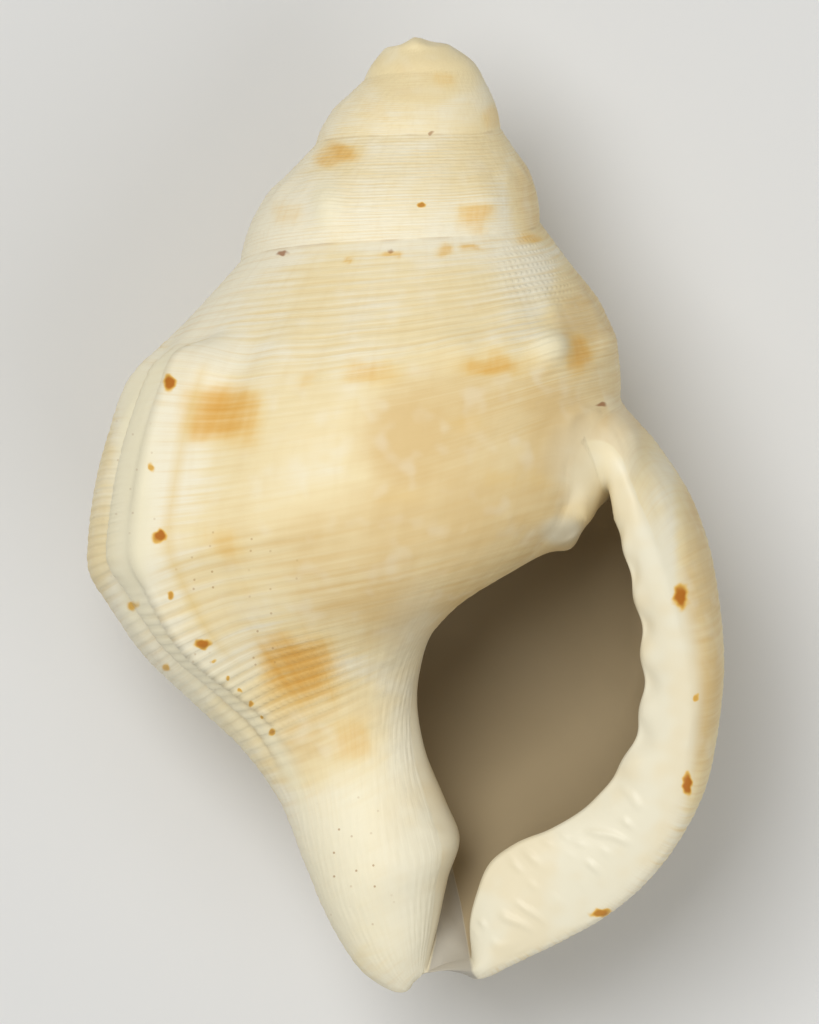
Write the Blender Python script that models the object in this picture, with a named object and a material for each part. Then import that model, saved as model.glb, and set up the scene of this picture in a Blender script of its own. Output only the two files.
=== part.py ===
"""Seashell of the triton kind, right-handed, lying on its back with the mouth up.

The wall is one surface, wound round the coiling axis by turns and running from suture to canal by rows.
At the outer lip it folds over and goes back inside as the mouth cavity, so the shell is one closed body.
Lengths are millimetres until the mesh is made. Turns count from the right-hand side of the shell:
0 there on the last whorl, -1 one whorl earlier, and a quarter turn further on faces the viewer.
"""

import math

import bmesh
import bpy
import numpy as np

NAME = "shell"

# The whole shell: wall, coiling axis, the canal's bend to the right, depth and the worn spot underneath.
WALL = 1.2
AXIS_TILT = math.radians(5.0)
APEX = (1.24, 25.0)
CANAL_BEND_START = 33.7
CANAL_BEND = 3.4
CANAL_BEND_SPAN = 15.8
CANAL_DIP = 0.5
DEPTH_SHARE = 0.9
FLAT_DEPTH = 0.6

# Where the winding starts, where the lip starts to curve over, and where its edge stands.
FIRST_TURN = -3.25
LIP_START = -0.03
LIP_TURN = 0.107

# Fineness of the mesh.
UPPER_ROWS = 12
LOWER_ROWS = 19
LIP_COLUMNS = 6
TURN_COLUMNS = 60
FACE_RINGS = 6
WALL_RINGS = 8
END_RINGS = 3
FLOOR_POINTS = 3
DOME_RINGS = 3

# Suture line by half turns: distance from the axis, and distance down from the apex.
SUTURE_TURNS = np.arange(-3.5, 0.1, 0.5)
SUTURE = np.array(
    [
        (2.2, 0.5), (2.7, 1.15), (3.15, 2.35), (4.17, 4.23), (5.4, 5.97), (6.65, 8.98), (8.79, 12.45),
        (11.67, 18.05),
    ]
)
SUTURE_RADIUS = SUTURE[-1][0]
LAST_HALF_TURN_DROP = SUTURE[-1][1] - SUTURE[-2][1]

# Steepness and sharpness of the shoulder, by turns.
SHOULDER_TURNS = np.array([-4.0, -1.0, -0.5, -0.25, 0.0])
SHOULDER = np.array([(1.55, 5.0), (1.55, 5.0), (1.75, 4.5), (2.2, 4.0), (2.2, 2.2)])

# Base of the last whorl, from its widest line to the canal's end, at five places round the axis.
BASE_TURNS = np.array([-1.5, -1.0, -0.5, -0.25, -0.11, 0.0])
BASE_MOUTH = [
    (11.67, 18.05), (11.79, 20.05), (11.5, 22.4), (10.4, 24.0), (7.67, 26.1), (4.5, 28.2), (2.9, 30.1),
    (2.3, 33.0), (2.82, 37.0), (3.9, 39.9), (4.4, 41.5), (3.5, 43.6), (2.3, 46.4), (1.3, 48.6),
]
BASE_LEFT = [
    (15.3, 28.3), (15.2, 29.3), (14.3, 30.5), (11.9, 33.4), (9.35, 35.5), (6.6, 37.8), (4.84, 40.4),
    (4.0, 43.7), (3.2, 47.2), (2.4, 49.0), (0.9, 49.95),
]
BASE_BACK = [
    (16.6, 29.0), (16.4, 31.0), (15.2, 33.2), (12.4, 36.0), (8.9, 38.6), (6.2, 41.0), (4.7, 43.5),
    (3.5, 46.5), (2.5, 48.8), (1.2, 49.7),
]
BASE_RIGHT_BACK = [
    (17.6, 31.0), (17.5, 33.0), (16.5, 35.8), (13.9, 38.7), (10.6, 41.2), (7.6, 43.5), (5.6, 45.8),
    (4.0, 48.2), (2.3, 49.4),
]
BASE_RIGHT = [
    (18.1, 32.2), (18.0, 34.1), (17.6, 37.1), (16.5, 39.4), (13.8, 43.0), (11.2, 45.0), (8.4, 46.8),
    (5.8, 47.9), (3.5, 49.1),
]

# Half a turn before the mouth, hidden by the last whorl, the base has this share of its radius, and no less
# than this radius. Before the mouth the widest line runs a little higher round one place.
HIDDEN_SHARE = 0.76
HIDDEN_LEAST = 2.1
WIDEST_LIFT = 1.1
WIDEST_LIFT_TURN = -0.87
WIDEST_LIFT_SPAN = 0.09

# Edge of the outer lip and inner edge of its face, as x, y and z from the middle of the shell.
LIP_CREST = [
    (8.9, 5.5, 6.7), (10.2, 4.85, 7.0), (11.25, 2.85, 7.1), (12.45, 0.45, 7.0), (13.3, -1.7, 6.8),
    (14.0, -4.2, 6.5), (14.7, -7.05, 6.0), (15.0, -9.7, 5.6), (14.85, -12.05, 5.2), (14.3, -14.4, 4.8),
    (13.3, -16.8, 4.3), (11.7, -19.1, 3.7), (9.8, -20.8, 3.1), (7.6, -22.1, 2.6), (5.5, -23.2, 2.1),
    (3.75, -24.2, 1.6),
]
LIP_INNER = [
    (10.65, 1.15, 5.0), (11.2, -0.4, 5.5), (11.75, -3.1, 5.7), (12.25, -5.1, 5.5), (12.45, -7.6, 5.0),
    (12.45, -9.6, 4.6), (12.0, -11.7, 4.2), (10.8, -13.85, 3.7), (9.65, -15.15, 3.3), (7.7, -16.4, 2.9),
    (5.8, -17.2, 2.4), (4.5, -18.2, 2.0), (3.75, -19.95, 1.7), (3.45, -21.2, 1.4), (3.55, -23.3, 1.0),
]
LIP_CROWN = 1.2
DENTICLES = 9
DENTICLE_HEIGHT = 0.3
DENTICLES_END = 0.8

# Mouth: its upper corner, the rows that the cavity's outer wall starts from, its end and the canal's floor.
CORNER_ROW = 1.12
CORNER_SHARE = 0.16
CAVITY_TOP_ROW = 0.3
CAVITY_END_TURN = -0.46
FLOOR_SAG = (0.0, 0.15, -0.6)

# Glaze on the whorl before: its thickness, more at the corner, and the tooth.
CALLUS = 0.18
CORNER_CALLUS = 0.35
CORNER_CALLUS_SPAN = 0.1
TOOTH_HEIGHT = 0.8
TOOTH_ROW = 1.215
TOOTH_SPAN = 0.035
TOOTH_PART = 0.7
TOOTH_REACH = 0.35

# Callus that fills the mouth's upper corner: middle and half size, height, its slope down the picture from a
# given line, and how softly it meets the wall.
FILL_MIDDLE = (9.8, 3.6)
FILL_REACH = (3.1, 3.2)
FILL_LEVEL = 6.9
FILL_SLOPE = 0.34
FILL_SLOPE_START = 4.0
FILL_SOFTNESS = 0.5

# The old lip: place, height, length of its rise and fall, and the rows where it fades in and out.
VARIX_TURN = -0.6
VARIX_HEIGHT = 1.15
VARIX_RISE = 0.06
VARIX_FALL = 0.055
VARIX_ROWS = (0.2, 0.45, 1.2, 1.7)

# Knobs of the shoulder.
NODULE_ROW = 0.42
NODULE_SPAN = 0.12
NODULE_STEP = 1.0 / 18.0
NODULE_HEIGHT = 0.6
NODULE_FADE = 0.02
NODULES_END = 0.05

# Size of the slab that cuts the worn spot, in metres.
CUTTER_SIZE = (0.08, 0.08, 0.01)


def smooth(x):
    """Eases from 0 to 1 as x goes from 0 to 1."""
    x = np.clip(x, 0.0, 1.0)
    return x * x * (3.0 - 2.0 * x)


def hump(x, middle, width):
    """A rounded rise of height 1 round the middle."""
    return np.exp(-(((x - middle) / width) ** 2))


def through(x, knots, values):
    """Smooth curve through values at knots. Where values has a column for each x, each x uses its own."""
    x = np.asarray(x, float)
    slopes = np.gradient(values, knots, axis=0)
    at = np.clip(np.searchsorted(knots, x) - 1, 0, len(knots) - 2)
    pick = (at, np.arange(len(x))) if values.ndim == 3 else (at,)
    after = (at + 1, np.arange(len(x))) if values.ndim == 3 else (at + 1,)
    width = (knots[at + 1] - knots[at])[:, None]
    t = (x - knots[at])[:, None] / width
    if values.ndim == 1:
        width, t = width[:, 0], t[:, 0]
    return (
        (1 + 2 * t) * (1 - t) ** 2 * values[pick]
        + t * (1 - t) ** 2 * width * slopes[pick]
        + t * t * (3 - 2 * t) * values[after]
        + t * t * (t - 1) * width * slopes[after]
    )


def along(points, part):
    """The place at each share of a curve's length, 0 to 1."""
    points = np.asarray(points, float)
    steps = np.linalg.norm(np.diff(points, axis=0), axis=1)
    knots = np.concatenate([[0.0], np.cumsum(steps)]) / steps.sum()
    return through(part, knots, points)


def base_at(turn, row):
    """Radius and depth below the widest line, where row goes from 1 to 2."""
    part = np.clip(row - 1.0, 0.0, 1.0)
    mouth = along(BASE_MOUTH, part)
    inner = mouth.copy()
    inner[:, 0] = np.maximum(mouth[:, 0] * HIDDEN_SHARE, np.minimum(mouth[:, 0], HIDDEN_LEAST))
    inner[:, 1] -= LAST_HALF_TURN_DROP * (1.0 - smooth(part / 0.5))
    stations = np.stack(
        [inner, mouth]
        + [along(outline, part) for outline in (BASE_LEFT, BASE_BACK, BASE_RIGHT_BACK, BASE_RIGHT)]
    )
    place = through(np.clip(turn, -1.5, 0.0), BASE_TURNS, stations)
    place[:, 1] -= WIDEST_LIFT * hump(turn, WIDEST_LIFT_TURN, WIDEST_LIFT_SPAN) * (1.0 - smooth(part / 0.3))
    return place


def suture_at(turn):
    """Radius and depth of the suture. After turn 0 it runs along the whorl before."""
    early = through(np.clip(turn, FIRST_TURN, 0.0), SUTURE_TURNS, SUTURE)
    late = base_at(turn - 1.0, np.ones_like(turn))
    return np.where((turn > 0.0)[:, None], late, early)


def widest_at(turn):
    early = suture_at(np.minimum(turn, -1.0) + 1.0)
    late = base_at(turn, np.ones_like(turn))
    return np.where((turn > -1.0)[:, None], late, early)


def ramp(part, steep, sharp):
    """Share of the radius gained at each share of a whorl's height: a slope, a shoulder, then upright."""
    def bent(v):
        return steep * v / (1.0 + (steep * v) ** sharp) ** (1.0 / sharp)

    return bent(part) / bent(1.0)


def relief(turn, row):
    """Height added to the wall by the old lip and the shoulder's knobs."""
    rise = smooth((turn - VARIX_TURN) / VARIX_RISE + 1.0)
    fall = 1.0 - smooth((turn - VARIX_TURN) / VARIX_FALL)
    top, full_top, full_base, base = VARIX_ROWS
    down = smooth((row - top) / (full_top - top)) * (1.0 - smooth((row - full_base) / (base - full_base)))
    varix = VARIX_HEIGHT * np.where(turn < VARIX_TURN, rise, fall) * down
    wave = 0.5 + 0.5 * np.cos(2.0 * math.pi * turn / NODULE_STEP)
    size = suture_at(np.clip(turn, FIRST_TURN, 0.0))[:, 0] / SUTURE_RADIUS
    nodules = NODULE_HEIGHT * size * wave * hump(row, NODULE_ROW, NODULE_SPAN)
    rest_turn = LIP_TURN - 1.0
    last_whorl = smooth((turn - rest_turn) / NODULE_FADE) * smooth(-turn / NODULES_END)
    spire = (turn < rest_turn - NODULE_FADE) & (row < 1.0)
    return varix + nodules * np.where(spire, 1.0, last_whorl)


def profile(turn, row, inset=0.0):
    """Radius and depth of the wall, or of a line inset from it."""
    top, wide = suture_at(turn), widest_at(turn)
    shape = through(np.clip(turn, -4.0, 0.0), SHOULDER_TURNS, SHOULDER)
    part = np.clip(row, 0.0, 1.0)
    upper = np.stack(
        [
            top[:, 0] + (wide[:, 0] - top[:, 0]) * ramp(part, shape[:, 0], shape[:, 1]),
            top[:, 1] + (wide[:, 1] - top[:, 1]) * part,
        ],
        axis=1,
    )
    place = np.where((row > 1.0)[:, None], base_at(turn, row), upper)
    if np.any(inset):
        step = 0.02
        ahead = profile(turn, np.minimum(row + step, 2.0))
        behind = profile(turn, np.maximum(row - step, 0.0))
        run = ahead - behind
        run /= np.linalg.norm(run, axis=1)[:, None]
        place = place + np.stack([-run[:, 1], run[:, 0]], axis=1) * np.reshape(inset, (-1, 1))
    return place


def stand(place, turn):
    """x, y and z from radius, depth and turn."""
    radius, depth = place[:, 0], place[:, 1]
    bend = CANAL_BEND * np.maximum(0.0, (depth - CANAL_BEND_START) / CANAL_BEND_SPAN) ** 2
    angle = 2.0 * math.pi * turn
    side = radius * np.cos(angle) + bend
    cos, sin = math.cos(AXIS_TILT), math.sin(AXIS_TILT)
    x = APEX[0] + side * cos - depth * sin
    y = APEX[1] - side * sin - depth * cos
    z = radius * np.sin(angle) * DEPTH_SHARE - CANAL_DIP * bend / CANAL_BEND
    return np.stack([x, y, z], axis=1)


def filled(points):
    """Raises the mouth's upper corner to the level of the callus that fills it."""
    across, up = ((points[:, axis] - FILL_MIDDLE[axis]) / FILL_REACH[axis] for axis in (0, 1))
    level = FILL_LEVEL - FILL_SLOPE * np.maximum(0.0, FILL_SLOPE_START - points[:, 1])
    missing = level - points[:, 2]
    rise = 0.5 * (missing + np.hypot(missing, FILL_SOFTNESS))
    share = smooth((1.0 - np.hypot(across, up)) / 0.4) * (points[:, 2] > 0.0)
    points[:, 2] += share * rise
    return points


def crest(row):
    """The edge of the outer lip, from where it rests on the whorl before to the canal."""
    start = stand(profile(np.array([LIP_TURN - 1.0]), np.ones(1)), LIP_TURN - 1.0)
    point = along(LIP_CREST, row / 2.0)
    return point + (start - np.array(LIP_CREST[0])) * (1.0 - smooth(row / 0.25))[:, None]


def bow(part, start, end, leave, arrive):
    """A curve from start to end that leaves and arrives along the given directions."""
    part = np.reshape(part, (-1, 1))
    reach = np.linalg.norm(end - start, axis=1)[:, None]
    leave = leave / np.linalg.norm(leave, axis=1)[:, None] * reach
    arrive = arrive / np.linalg.norm(arrive, axis=1)[:, None] * reach
    return (
        (1 + 2 * part) * (1 - part) ** 2 * start
        + part * (1 - part) ** 2 * leave
        + part * part * (3 - 2 * part) * end
        + part * part * (part - 1) * arrive
    )


def over_the_lip(row):
    """The direction in which the surface crosses the lip's edge, inwards."""
    return inner_edge(row) - crest(row) + np.array((0.0, 0.0, LIP_CROWN))


def wall(turn, row):
    """The outer surface, which curves over into the edge of the lip at its end."""
    point = stand(profile(turn, row, -relief(turn, row)), turn)
    part = (turn - LIP_START) / (LIP_TURN - LIP_START)
    if np.all(part <= 0.0):
        return point
    start_turn = np.full(len(row), LIP_START)
    place = profile(start_turn, row)
    start, ahead = stand(place, start_turn), stand(place, start_turn + 0.01)
    lip = bow(np.clip(part, 0.0, 1.0), start, crest(row), ahead - start, over_the_lip(row))
    near = (smooth(row / 0.3) * smooth(part / 0.3))[:, None]
    return point + (lip - point) * np.maximum(near, smooth((part - 0.6) / 0.4)[:, None])


def inner_edge(row):
    """The inner edge of the lip's face, with its blunt teeth."""
    part = np.clip(row / 2.0, 0.0, 1.0) ** 1.3
    point = along(LIP_INNER, part)
    ends = smooth(part / 0.12) * smooth((DENTICLES_END - part) / 0.1)
    point[:, 0] -= DENTICLE_HEIGHT * 0.5 * np.cos(2.0 * math.pi * DENTICLES * part) * ends
    return point


def columns():
    """Turns of the mesh's columns. The lip's own columns repeat one whorl before, where it rests."""
    lip = np.linspace(0.0, LIP_TURN, LIP_COLUMNS + 1)
    rest = np.linspace(LIP_TURN - 1.0, 0.0, TURN_COLUMNS - LIP_COLUMNS + 1)[1:]
    turn = np.concatenate([lip[:-1] - 1.0, [LIP_TURN - 1.0], rest])
    whole = [turn[1:] - n for n in range(int(-FIRST_TURN), -1, -1)]
    every = np.concatenate([np.concatenate(whole), lip[1:]])
    return every[every >= FIRST_TURN - 1e-6]


def rows():
    upper = np.linspace(0.0, 1.0, UPPER_ROWS + 1)
    lower = 1.0 + np.linspace(0.0, 1.0, LOWER_ROWS + 1)[1:]
    return np.concatenate([upper, lower])


def add_wall(mesh):
    """Adds the outer surface and gives its open edges: lip side, canal end and columella side."""
    turn, row = columns(), rows()
    last = len(turn) - 1
    shift = TURN_COLUMNS
    grid = {}
    for c, t in enumerate(turn):
        full = c >= last - shift
        count = len(row) if full else UPPER_ROWS
        points = filled(wall(np.full(count, t), row[:count]))
        for r, point in enumerate(points):
            if r == 0 and c - shift >= 0:
                continue
            grid[c, r] = mesh.verts.new(point)
    for c in range(last + 1):
        if c - shift >= 0:
            above = (c - shift, UPPER_ROWS)
            grid[c, 0] = grid.get(above) or mesh.verts.new(wall(turn[c : c + 1], row[:1])[0])
            grid[above] = grid[c, 0]
    for c in range(last):
        count = len(row) - 1 if c >= last - shift else UPPER_ROWS
        for r in range(count):
            mesh.faces.new((grid[c, r], grid[c, r + 1], grid[c + 1, r + 1], grid[c + 1, r]))
    ends = len(row)
    lip = [grid[last, r] for r in range(ends)]
    canal = [grid[c, ends - 1] for c in range(last, last - shift - 1, -1)]
    columella = [grid[last - shift, r] for r in range(ends - 1, UPPER_ROWS - 1, -1)]
    dome = [grid[c, 0] for c in range(shift + 1)] + [grid[0, r] for r in range(UPPER_ROWS - 1, 0, -1)]
    return lip, canal, columella, dome


def add_dome(mesh, loop):
    """Closes the blunt top of the spire in shrinking rings."""
    points = np.array([vertex.co for vertex in loop])
    top = np.append(APEX, 0.0)
    for n in range(1, DOME_RINGS + 1):
        part = n / (DOME_RINGS + 1.0)
        shrunk = points + (top - points) * part
        rise = (1.0 - (1.0 - part) ** 2) - part
        shrunk[:, 1] += rise * (top[1] - points[:, 1])
        ring = [mesh.verts.new(point) for point in shrunk]
        bridge(mesh, ring, loop)
        loop = ring
    fan(mesh, loop, top)


def bridge(mesh, outer, inner):
    count = len(outer)
    for i in range(count):
        j = (i + 1) % count
        mesh.faces.new((outer[i], outer[j], inner[j], inner[i]))


def fan(mesh, loop, centre):
    middle = mesh.verts.new(centre)
    for i in range(len(loop)):
        mesh.faces.new((loop[i], middle, loop[(i + 1) % len(loop)]))


def floor_between(start, end):
    """Points across the canal's floor, from its right wall to its left wall."""
    part = (np.arange(FLOOR_POINTS) + 1.0)[:, None] / (FLOOR_POINTS + 1.0)
    return start + (end - start) * part + np.sin(math.pi * part) * np.asarray(FLOOR_SAG)


def mouth_side(row, reach):
    """How far each row of the whorl before runs into the mouth, as a turn beyond -1."""
    edge = -0.03 + 0.1 * hump(row, 1.05, 0.2) + 0.1 * smooth((row - 1.8) / 0.2)
    return LIP_TURN + (edge - LIP_TURN) * reach


def callus(row, part):
    """Height of the glaze laid on the whorl before: 0 at its outer border, part 1 at the mouth's edge."""
    thin = CALLUS * np.minimum(smooth((row - 1.0) / 0.1), smooth((2.0 - row) / 0.1))
    thick = CORNER_CALLUS * hump(row, CORNER_ROW, CORNER_CALLUS_SPAN)
    tooth = TOOTH_HEIGHT * hump(row, TOOTH_ROW, TOOTH_SPAN) * hump(part, TOOTH_PART, TOOTH_REACH)
    return (thin + thick) * math.sin(math.pi * min(part, 0.5)) + tooth


def meet(lip, side):
    """Brings the starts of both sides to one corner, easing along each."""
    middle = (lip[0] + side[0]) / 2.0
    for edge in (lip, side):
        ease = 1.0 - smooth(np.arange(len(edge)) / (CORNER_SHARE * len(edge)))
        edge += (middle - edge[0]) * ease[:, None]
    return lip, side


def face_ring(part, row_lip, row_columella):
    """A ring of the lip's face: 0 at the outer edge, 1 at the inner edge."""
    outer, inner = crest(row_lip), inner_edge(row_lip)
    down = np.array((0.0, 0.0, -LIP_CROWN)) + inner - outer
    lip = bow(part, outer, inner, over_the_lip(row_lip), down)
    start = 1.0 + (CORNER_ROW - 1.0) * part
    row = start + (2.0 - start) * (row_columella - 1.0)
    turn = -1.0 + mouth_side(row, part)
    lip, side = meet(lip, stand(profile(turn, row, -callus(row, part)), turn))
    return filled(lip), filled(side)


def cavity_ring(turn, row_lip, row_columella):
    """A section of the mouth cavity at a turn behind the lip."""
    away = smooth(-turn / 0.12)
    end = 2.0 - 0.45 * smooth(-turn / 0.26) - 0.03
    row = CAVITY_TOP_ROW + (end - CAVITY_TOP_ROW) * row_lip / 2.0
    inside = stand(profile(np.full(len(row), turn), row, WALL), np.full(len(row), turn))
    lip = inner_edge(row_lip) * (1.0 - away) + inside * away
    row = CORNER_ROW + (end - CORNER_ROW) * (row_columella - 1.0)
    place = -1.0 + mouth_side(row, 1.0) + turn
    side = stand(profile(place, row, -callus(row, 1.0) * (1.0 - away)), place)
    return meet(lip, side)


def add_mouth(mesh, lip, canal, columella):
    """Adds the lip's face, the canal and the cavity, ring by ring, and closes the cavity's end."""
    row = rows()
    row_columella = row[UPPER_ROWS:]
    rim = floor_between(np.array(lip[-1].co), np.array(columella[0].co))
    floor = [mesh.verts.new(point) for point in rim]
    loop = lip + floor + columella[:-1]
    inner = [lip[-1]] + floor + [columella[0]]
    zip_strip(mesh, canal, inner)
    face = np.linspace(0.0, 1.0, FACE_RINGS + 1)[1:]
    turns = np.linspace(0.0, CAVITY_END_TURN, WALL_RINGS + 1)[1:]
    rings = [face_ring(part, row, row_columella) for part in face]
    rings += [cavity_ring(turn, row, row_columella) for turn in turns]
    for right, left in rings:
        ring = np.concatenate([right, floor_between(right[-1], left[-1]), left[:0:-1]])
        verts = [mesh.verts.new(point) for point in ring]
        bridge(mesh, verts, loop)
        loop = verts
    centre = ring.mean(axis=0)
    for n in range(1, END_RINGS):
        shrunk = ring + (centre - ring) * (n / END_RINGS)
        verts = [mesh.verts.new(point) for point in shrunk]
        bridge(mesh, verts, loop)
        loop = verts
    fan(mesh, loop, centre)


def zip_strip(mesh, outer, inner):
    """Closes the strip between two open rows of unlike counts that share their end points."""
    i = j = 0
    while i < len(outer) - 1 or j < len(inner) - 1:
        step_outer = (i + 1) / (len(outer) - 1)
        step_inner = (j + 1) / (len(inner) - 1)
        if j == len(inner) - 1 or (i < len(outer) - 1 and step_outer <= step_inner):
            corners = (outer[i], outer[i + 1], inner[j])
            i += 1
        else:
            corners = (outer[i], inner[j + 1], inner[j])
            j += 1
        if len(set(corners)) == 3:
            mesh.faces.new(corners)


def shell_mesh():
    mesh = bmesh.new()
    lip, canal, columella, dome = add_wall(mesh)
    add_dome(mesh, dome)
    add_mouth(mesh, lip, canal, columella)
    bmesh.ops.recalc_face_normals(mesh, faces=mesh.faces)
    return mesh


def shell_material():
    material = bpy.data.materials.new("aragonite")
    material.use_nodes = True
    shader = material.node_tree.nodes["Principled BSDF"]
    shader.inputs["Base Color"].default_value = (0.82, 0.68, 0.44, 1.0)
    shader.inputs["Roughness"].default_value = 0.4
    shader.inputs["Metallic"].default_value = 0.0
    return material


def collection(name):
    made = bpy.data.collections.new(name)
    bpy.context.scene.collection.children.link(made)
    return made


def flat_cutter(into):
    """A slab whose top face, at height 0, takes off the worn spot that the shell rests on."""
    bpy.ops.mesh.primitive_cube_add(size=1.0)
    cutter = bpy.context.object
    cutter.name = "rest_cutter"
    cutter.scale = CUTTER_SIZE
    cutter.location = (0.0, 0.0, -CUTTER_SIZE[2] / 2.0)
    cutter.hide_render = True
    cutter.display_type = "WIRE"
    for old in cutter.users_collection:
        old.objects.unlink(cutter)
    into.objects.link(cutter)
    return cutter


def main():
    for old in list(bpy.data.objects):
        bpy.data.objects.remove(old, do_unlink=True)
    parts, cutters = collection("triton_shell"), collection("cutters")
    mesh = shell_mesh()
    points = np.array([vertex.co for vertex in mesh.verts])
    low, high = points.min(axis=0), points.max(axis=0)
    rest = low[2] + FLAT_DEPTH
    middle = np.array([(low[0] + high[0]) / 2.0, (low[1] + high[1]) / 2.0, rest])
    for vertex in mesh.verts:
        vertex.co = [(vertex.co[axis] - middle[axis]) * 0.001 for axis in range(3)]
    data = bpy.data.meshes.new(NAME)
    mesh.to_mesh(data)
    mesh.free()
    data.shade_smooth()
    shell = bpy.data.objects.new(NAME, data)
    parts.objects.link(shell)
    data.materials.append(shell_material())
    cut = shell.modifiers.new("rest", "BOOLEAN")
    cut.operation = "DIFFERENCE"
    cut.object = flat_cutter(cutters)


main()
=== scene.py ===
"""Looks of a triton seashell that lies on its back with the mouth up, seen from straight above.

The shell is one surface, as in the solid it stands for: wound round the coiling axis by turns, and running
from suture to canal by rows. At the outer lip it folds over and goes back inside as the mouth cavity.
Lengths are millimetres in the view's frame until the mesh is made: x to the right, y up the picture, z out
of it, from the middle of the shell. Turns count from the right-hand side of the shell: 0 there on the last
whorl, -1 one whorl earlier. A quarter turn before 0 is the back, and a quarter turn after -1 is the front.
Low relief and colours of the side that faces the camera are placed in pixels of the picture, 819 by 1024.
"""

import math

import bmesh
import bpy
import numpy as np
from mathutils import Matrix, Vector


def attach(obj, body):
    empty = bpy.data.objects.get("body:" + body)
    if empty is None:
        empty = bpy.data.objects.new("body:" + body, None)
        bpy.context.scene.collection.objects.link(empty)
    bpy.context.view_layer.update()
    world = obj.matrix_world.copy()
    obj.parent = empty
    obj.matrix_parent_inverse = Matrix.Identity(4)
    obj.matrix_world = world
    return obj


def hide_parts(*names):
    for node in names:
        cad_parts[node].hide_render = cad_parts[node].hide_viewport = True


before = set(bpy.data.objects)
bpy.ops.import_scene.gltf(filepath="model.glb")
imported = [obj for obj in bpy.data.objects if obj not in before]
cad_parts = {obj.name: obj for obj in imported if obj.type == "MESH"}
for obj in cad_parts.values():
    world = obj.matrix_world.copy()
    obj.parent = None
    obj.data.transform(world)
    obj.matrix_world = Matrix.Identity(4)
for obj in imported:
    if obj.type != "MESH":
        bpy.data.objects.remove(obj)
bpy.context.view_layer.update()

PIXELS_PER_MM = 19.0
PICTURE = (819, 1024)
PICTURE_MIDDLE = (404.5, 516.0)

# Form of the shell.
WALL = 1.2
AXIS_TILT = math.radians(5.0)
APEX = (1.24, 25.0)
CANAL_BEND_START = 33.7
CANAL_BEND = 3.4
CANAL_BEND_SPAN = 15.8
CANAL_DIP = 0.5
DEPTH_SHARE = 0.9
FLAT_DEPTH = 0.6

FIRST_TURN = -4.25
LIP_START = -0.03
LIP_TURN = 0.107

# Suture line by half turns: distance from the axis, and distance down from the apex.
SUTURE_TURNS = np.arange(-4.5, 0.1, 0.5)
SUTURE = np.array(
    [
        (0.1, -0.1), (1.1, 0.1), (2.2, 0.55), (2.7, 1.15), (3.15, 2.35),
        (4.17, 4.23), (5.4, 5.97), (6.65, 8.98), (8.79, 12.45), (11.67, 18.05),
    ]
)
SUTURE_RADIUS = SUTURE[-1][0]
LAST_HALF_TURN_DROP = SUTURE[-1][1] - SUTURE[-2][1]

# Steepness and sharpness of the shoulder, by turns.
SHOULDER_TURNS = np.array([-4.0, -3.0, -2.0, -1.0, -0.5, -0.25, 0.0])
SHOULDER = np.array([(1.1, 3.0), (1.2, 3.5), (1.45, 4.5), (1.55, 5.0), (1.75, 4.5), (2.2, 4.0), (2.2, 2.2)])

# Base of the last whorl, from its widest line to the canal's end, at five places round the axis.
BASE_TURNS = np.array([-1.5, -1.0, -0.5, -0.25, -0.11, 0.0])
BASE_MOUTH = [
    (11.67, 18.05), (11.79, 20.05), (11.5, 22.4), (10.4, 24.0), (7.67, 26.1), (4.5, 28.2), (2.9, 30.1),
    (2.3, 33.0), (2.82, 37.0), (3.9, 39.9), (4.4, 41.5), (3.5, 43.6), (2.3, 46.4), (1.3, 48.6),
]
BASE_LEFT = [
    (15.6, 28.3), (15.5, 29.3), (14.5, 30.5), (12.0, 33.4), (9.35, 35.5), (6.6, 37.8), (4.84, 40.4),
    (4.0, 43.7), (3.2, 47.2), (2.3, 49.2), (0.6, 50.3),
]
BASE_BACK = [
    (16.6, 29.0), (16.4, 31.0), (15.2, 33.2), (12.4, 36.0), (8.9, 38.6), (6.2, 41.0), (4.7, 43.5),
    (3.5, 46.0), (2.7, 47.8), (2.0, 48.7),
]
BASE_RIGHT_BACK = [
    (17.6, 31.0), (17.5, 33.0), (16.5, 35.8), (13.9, 38.7), (10.6, 41.2), (7.6, 43.5), (5.6, 45.6),
    (4.0, 47.6), (2.7, 48.7),
]
BASE_RIGHT = [
    (18.1, 32.2), (18.0, 34.1), (17.6, 37.1), (16.5, 39.4), (13.8, 43.0), (11.2, 45.0), (8.4, 46.8),
    (5.8, 47.9), (3.5, 49.1),
]

# At turn -1.5 the base lies hidden inside the whorl and has this share of the mouth side's radius, or this
# radius at least. Round one turn its widest line lies higher.
HIDDEN_SHARE = 0.76
HIDDEN_LEAST = 2.1
WIDEST_LIFT = 1.1
WIDEST_LIFT_TURN = -0.87
WIDEST_LIFT_SPAN = 0.09

# Edge of the outer lip and inner edge of its face, as x, y and z.
LIP_CREST = [
    (8.9, 5.5, 6.7), (10.2, 4.85, 7.0), (11.25, 2.85, 7.1), (12.45, 0.45, 7.0), (13.3, -1.7, 6.8),
    (14.0, -4.2, 6.5), (14.7, -7.05, 6.0), (15.0, -9.7, 5.6), (14.85, -12.05, 5.2), (14.3, -14.4, 4.8),
    (13.3, -16.8, 4.3), (11.7, -19.1, 3.7), (9.8, -20.8, 3.1), (7.6, -22.1, 2.6), (5.5, -23.2, 2.1),
    (3.75, -24.2, 1.6),
]
LIP_INNER = [
    (10.65, 1.15, 6.0), (11.2, -0.4, 6.2), (11.75, -3.1, 6.0), (12.25, -5.1, 5.5), (12.45, -7.6, 5.0),
    (12.45, -9.6, 4.6), (12.0, -11.7, 4.2), (10.8, -13.85, 3.7), (9.65, -15.15, 3.3), (7.7, -16.4, 2.9),
    (5.8, -17.2, 2.4), (4.5, -18.2, 2.0), (3.75, -19.95, 1.7), (3.45, -21.2, 1.4), (3.55, -23.3, 1.0),
]
LIP_CROWN = 1.6
CORNER_CROWN = 3.5
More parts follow.
